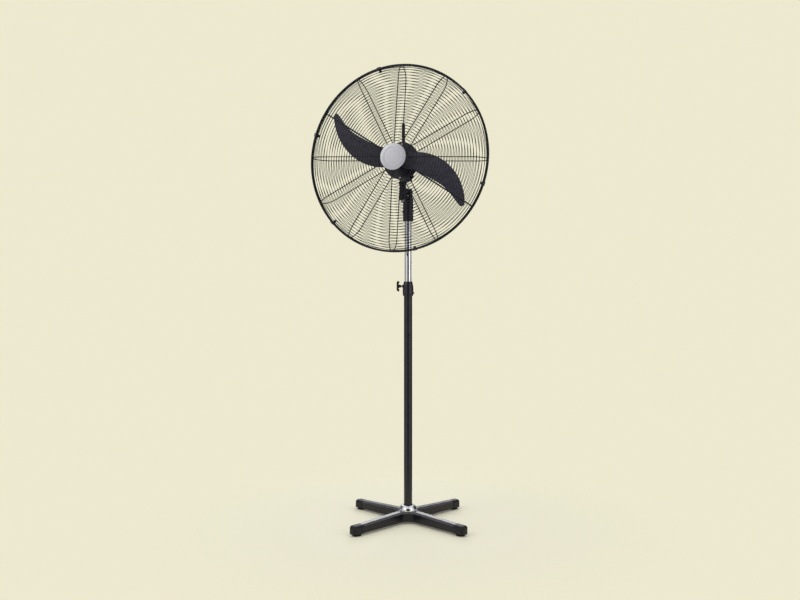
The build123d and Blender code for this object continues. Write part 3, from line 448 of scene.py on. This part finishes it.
# %% Spun aluminium
def spun_aluminium():
    f = Finish("spun_aluminium", (0.60, 0.60, 0.62), metallic=0.35)
    split = f.tree.nodes.new("ShaderNodeSeparateXYZ")
    f.tree.links.new(f.place, split.inputs["Vector"])
    rise = f.combine(split.outputs["Z"], -hub_height)
    square = f.combine(f.combine(split.outputs["X"], 2.0, "POWER"), f.combine(rise, rise, "MULTIPLY"))
    radius = f.combine(square, 0.5, "POWER")
    join = f.tree.nodes.new("ShaderNodeCombineXYZ")
    f.tree.links.new(f.combine(radius, 1500.0, "MULTIPLY"), join.inputs["X"])
    f.tree.links.new(f.combine(split.outputs["X"], 14.0, "MULTIPLY"), join.inputs["Y"])
    rings = f.noise(1.0, 3, join.outputs["Vector"])
    f.tint(rings, (0.52, 0.52, 0.54), (0.68, 0.68, 0.70))
    f.dull(f.noise(40, 6), 0.36, 0.50)
    f.bump(rings, 0.10, 0.0002)
    return f

finishes["badge_silver"] = spun_aluminium()
print("spun disc")

# %% [markdown]
# ## Plated screws, ground steel and the metals inside
# Zinc plating is a little yellow and patchy. Shafts and gears are ground bright and oiled. The
# core is a stack of thin sheets, which shows as lines across its edge, and the coils are rows of
# varnished copper wire. The gear case is die cast and blackened, so it doesn't catch the eye.

# %% Small metals
def zinc_plate():
    f = Finish("zinc_plate", (0.62, 0.61, 0.56), metallic=1.0)
    f.tint(f.noise(160, 6), (0.50, 0.49, 0.43), (0.70, 0.69, 0.66))
    f.dull(f.noise(210, 5), 0.24, 0.42)
    f.bump(f.noise(1900, 2), 0.10, 0.0002)
    return f

def ground_steel():
    f = Finish("ground_steel", (0.52, 0.52, 0.53), metallic=1.0)
    lines = f.noise(1.0, 3, f.stretch((240, 4200, 4200)))
    f.tint(f.noise(120, 6), (0.42, 0.41, 0.40), (0.60, 0.60, 0.61))
    f.dull(lines, 0.18, 0.34)
    f.bump(lines, 0.08, 0.0001)
    return f

def core_sheets():
    f = Finish("core_sheets", (0.26, 0.26, 0.28), metallic=0.9)
    wave = f.tree.nodes.new("ShaderNodeTexWave")
    wave.bands_direction = "Y"
    wave.inputs["Scale"].default_value = 320
    wave.inputs["Distortion"].default_value = 0.4
    f.tree.links.new(f.place, wave.inputs["Vector"])
    f.tint(wave.outputs["Fac"], (0.12, 0.12, 0.13), (0.34, 0.34, 0.36))
    f.dull(f.noise(200, 4), 0.35, 0.55)
    f.bump(wave.outputs["Fac"], 0.3, 0.0003)
    return f

def varnished_copper():
    f = Finish("varnished_copper", (0.55, 0.20, 0.08), metallic=0.7, coat=0.7, coat_rough=0.15)
    strands = f.noise(1.0, 4, f.stretch((500, 1500, 500)))
    f.tint(strands, (0.30, 0.08, 0.02), (0.72, 0.30, 0.12))
    f.dull(strands, 0.25, 0.42)
    f.bump(strands, 0.5, 0.0006)
    return f

def bearing_bronze():
    f = Finish("bearing_bronze", (0.50, 0.33, 0.14), metallic=1.0)
    f.tint(f.noise(220, 6), (0.34, 0.21, 0.08), (0.62, 0.43, 0.20))
    f.dull(f.noise(160, 5), 0.30, 0.5)
    f.bump(f.noise(1600, 3), 0.12, 0.0002)
    return f

def die_cast():
    f = Finish("die_cast", (0.085, 0.085, 0.095), metallic=0.6)
    f.tint(f.noise(90, 6), (0.060, 0.060, 0.068), (0.115, 0.115, 0.125))
    f.dull(f.noise(260, 4), 0.42, 0.6)
    f.bump(f.noise(1100, 4), 0.25, 0.0004)
    return f

finishes["zinc_steel"] = zinc_plate()
finishes["bright_steel"] = ground_steel()
finishes["core_steel"] = core_sheets()
finishes["coil_copper"] = varnished_copper()
finishes["bush_bronze"] = bearing_bronze()
finishes["cast_alloy"] = die_cast()
print("finishes", sorted(finishes))

# %% [markdown]
# ## Give every CAD piece its finish
# The record says which finish each piece has. Faces keep the CAD's own normals, so the round
# parts stay smooth and the machined edges stay crisp.

# %% Dress the CAD pieces
def dress(obj, slot):
    obj.data.materials.clear()
    obj.data.materials.append(finishes[slot].mat)

for node, obj in frame["nodes"].items():
    dress(obj, slot_of[node])
print("dressed", len(frame["nodes"]))

# %% [markdown]
# ## A small kit for added pieces
# Added pieces are meshes written out point by point: turned rings, beads and fins. Each one is
# put in place first, and then told which CAD body it rides on, so that it moves with the fan. A
# slab is eight points, and slab_faces are its six sides.

# %% Mesh kit
def add_piece(name, points, faces, body, slot, smooth=True):
    mesh = bpy.data.meshes.new(name)
    mesh.from_pydata([tuple(p) for p in points], [], faces)
    mesh.validate()
    work = bmesh.new()
    work.from_mesh(mesh)
    bmesh.ops.recalc_face_normals(work, faces=work.faces)
    for face in work.faces:
        face.smooth = smooth
    work.to_mesh(mesh)
    work.free()
    piece = bpy.data.objects.new(name, mesh)
    bpy.context.collection.objects.link(piece)
    mesh.materials.append(finishes[slot].mat)
    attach(piece, body)
    return piece

def turned(profile, place, steps=96, closed=True):
    """Points and faces of (radius, along) pairs turned about an axis; place maps to the model."""
    points, faces = [], []
    n = len(profile)
    for i in range(steps):
        a = 2 * pi * i / steps
        points += [place(r, s, a) for r, s in profile]
    for i in range(steps):
        j = (i + 1) % steps
        for k in range(n if closed else n - 1):
            m = (k + 1) % n
            faces.append((i * n + k, j * n + k, j * n + m, i * n + m))
    return points, faces

slab_faces = [(0, 1, 3, 2), (4, 6, 7, 5), (0, 4, 5, 1), (2, 3, 7, 6), (0, 2, 6, 4), (1, 5, 7, 3)]

def about_column(r, s, a):
    return Vector((r * cos(a), r * sin(a), s))

def about_blades(r, s, a):
    return Vector((r * cos(a), -s, hub_height + r * sin(a)))

def merge(shapes):
    points, faces = [], []
    for p, f in shapes:
        base = len(points)
        points += p
        faces += [tuple(base + i for i in face) for face in f]
    return points, faces

print("kit ready")

# %% [markdown]
# ## Weld beads on the guard
# Each rib is spot welded to its hoop. The weld swells into a small flattened bead, which is what
# stops the cage looking like loose wires laid on each other. A bead is a flattened ball, drawn
# out along the hoop, and one is set at every rib end.

# %% Weld beads
def ball(centre, radii, rings=6, steps=10):
    points, faces = [], []
    for i in range(1, rings):
        lift = pi * i / rings
        for j in range(steps):
            a = 2 * pi * j / steps
            points.append(centre + radii[0] * sin(lift) * cos(a) + radii[1] * sin(lift) * sin(a)
                          + radii[2] * cos(lift))
    top, bottom = len(points), len(points) + 1
    points += [centre + radii[2], centre - radii[2]]
    for i in range(rings - 2):
        for j in range(steps):
            k = (j + 1) % steps
            faces.append((i * steps + j, i * steps + k, (i + 1) * steps + k, (i + 1) * steps + j))
    for j in range(steps):
        k = (j + 1) % steps
        faces.append((top, k, j))
        faces.append((bottom, (rings - 2) * steps + j, (rings - 2) * steps + k))
    return points, faces

def rim_beads():
    """One bead at each rib end, on both hoops."""
    inwards, apart = 0.0016, 0.0046
    shapes = []
    for node, side in (("front_hoop", 1), ("rear_hoop", -1)):
        depth = -middle(node).y
        for angle in rib_angles:
            a = radians(angle)
            out = Vector((cos(a), 0, sin(a)))
            along = Vector((-sin(a), 0, cos(a)))
            ahead = Vector((0, -1, 0))
            centre = about_blades(hoop_radius - inwards, depth + side * apart, a)
            shapes.append(ball(centre, (along * 0.0042, out * 0.0028, ahead * 0.0020)))
    return merge(shapes)

add_piece("rim_weld_beads", *rim_beads(), "head", "black_wire")
print("beads", len(rib_angles) * 2)

# %% [markdown]
# ## Cooling fins on the motor
# The rear half of the motor case is cast with thin fins that shed the motor's heat. Each fin is
# two thin plates in a row, which follow the slope of the case. They start just under the surface,
# so no gap shows between fin and case.

# %% Motor fins
def fin(angle, ends, height, half_width, sink=0.0008):
    """A thin plate from one (radius, depth) to the next, standing out of the case."""
    a = radians(angle)
    along = Vector((-sin(a), 0, cos(a))) * half_width
    points = []
    for radius, depth in ends:
        for r in (radius - sink, radius + height):
            spot = about_blades(r, depth, a)
            points += [spot - along, spot + along]
    return points, slab_faces

fin_count = 40

def motor_fins():
    low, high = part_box("motor_rear_shell")
    front, back = -low[1], -high[1]
    wide = size_of("motor_rear_shell").x / 2
    ends = [(wide - 0.0003, front - 0.003), (wide - 0.0034, front - 0.017),
            (wide - 0.0049, back + 0.002)]
    shapes = []
    for k in range(fin_count):
        angle = 360 / fin_count * (k + 0.5)
        for pair in (ends[:2], ends[1:]):
            shapes.append(fin(angle, pair, height=0.0026, half_width=0.0007))
    return merge(shapes)

add_piece("motor_cooling_fins", *motor_fins(), "head", "black_enamel", smooth=False)
print("fins", fin_count)

# %% [markdown]
# ## Speed marks
# Four raised marks on the rear cover tell off, low, medium and high by their length. They are
# small plated bars set into the cover. Marks need no lettering, so they suit every market.

# %% Speed marks
mark_count = 4

def speed_marks():
    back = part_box("rear_cover")[1][1]
    shapes = []
    for k in range(mark_count):
        a = radians(90 - 45 * k)
        out = Vector((cos(a), 0, sin(a)))
        side = Vector((-sin(a), 0, cos(a))) * 0.0009
        inner, outer = 0.0165, 0.0185 + 0.0012 * k
        points = []
        for depth in (back - 0.0022, back + 0.0005):
            for r in (inner, outer):
                spot = Vector((0, depth, hub_height)) + out * r
                points += [spot - side, spot + side]
        shapes.append((points, slab_faces))
    return merge(shapes)

add_piece("speed_marks", *speed_marks(), "head", "zinc_steel", smooth=False)
print("speed marks", mark_count)

# %% [markdown]
# ## Sealing rings
# A thin rubber ring closes the gap between the dome and the column, and rolled edges finish the
# two ends of the height collar. They are turned profiles with a round section.

# %% Rings on the column
def bead_profile(radius, height, wire, steps=12):
    return [(radius + wire * cos(2 * pi * k / steps), height + wire * sin(2 * pi * k / steps))
            for k in range(steps)]

tube_radius = size_of("outer_tube").x / 2
dome_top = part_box("base_dome")[1][2]
collar_low, collar_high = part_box("height_collar")[0][2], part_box("height_collar")[1][2]
seal_ring = turned(bead_profile(tube_radius + 0.0011, dome_top + 0.0006, 0.0012), about_column)
add_piece("dome_seal", *seal_ring, "stand", "pad_rubber")
lips = merge([turned(bead_profile(r, z, 0.0007), about_column)
              for r, z in ((0.0236, collar_low + 0.0008), (0.0202, collar_high - 0.0026))])
add_piece("collar_lips", *lips, "stand", "black_enamel")
print("seal and lips", round(dome_top, 4))
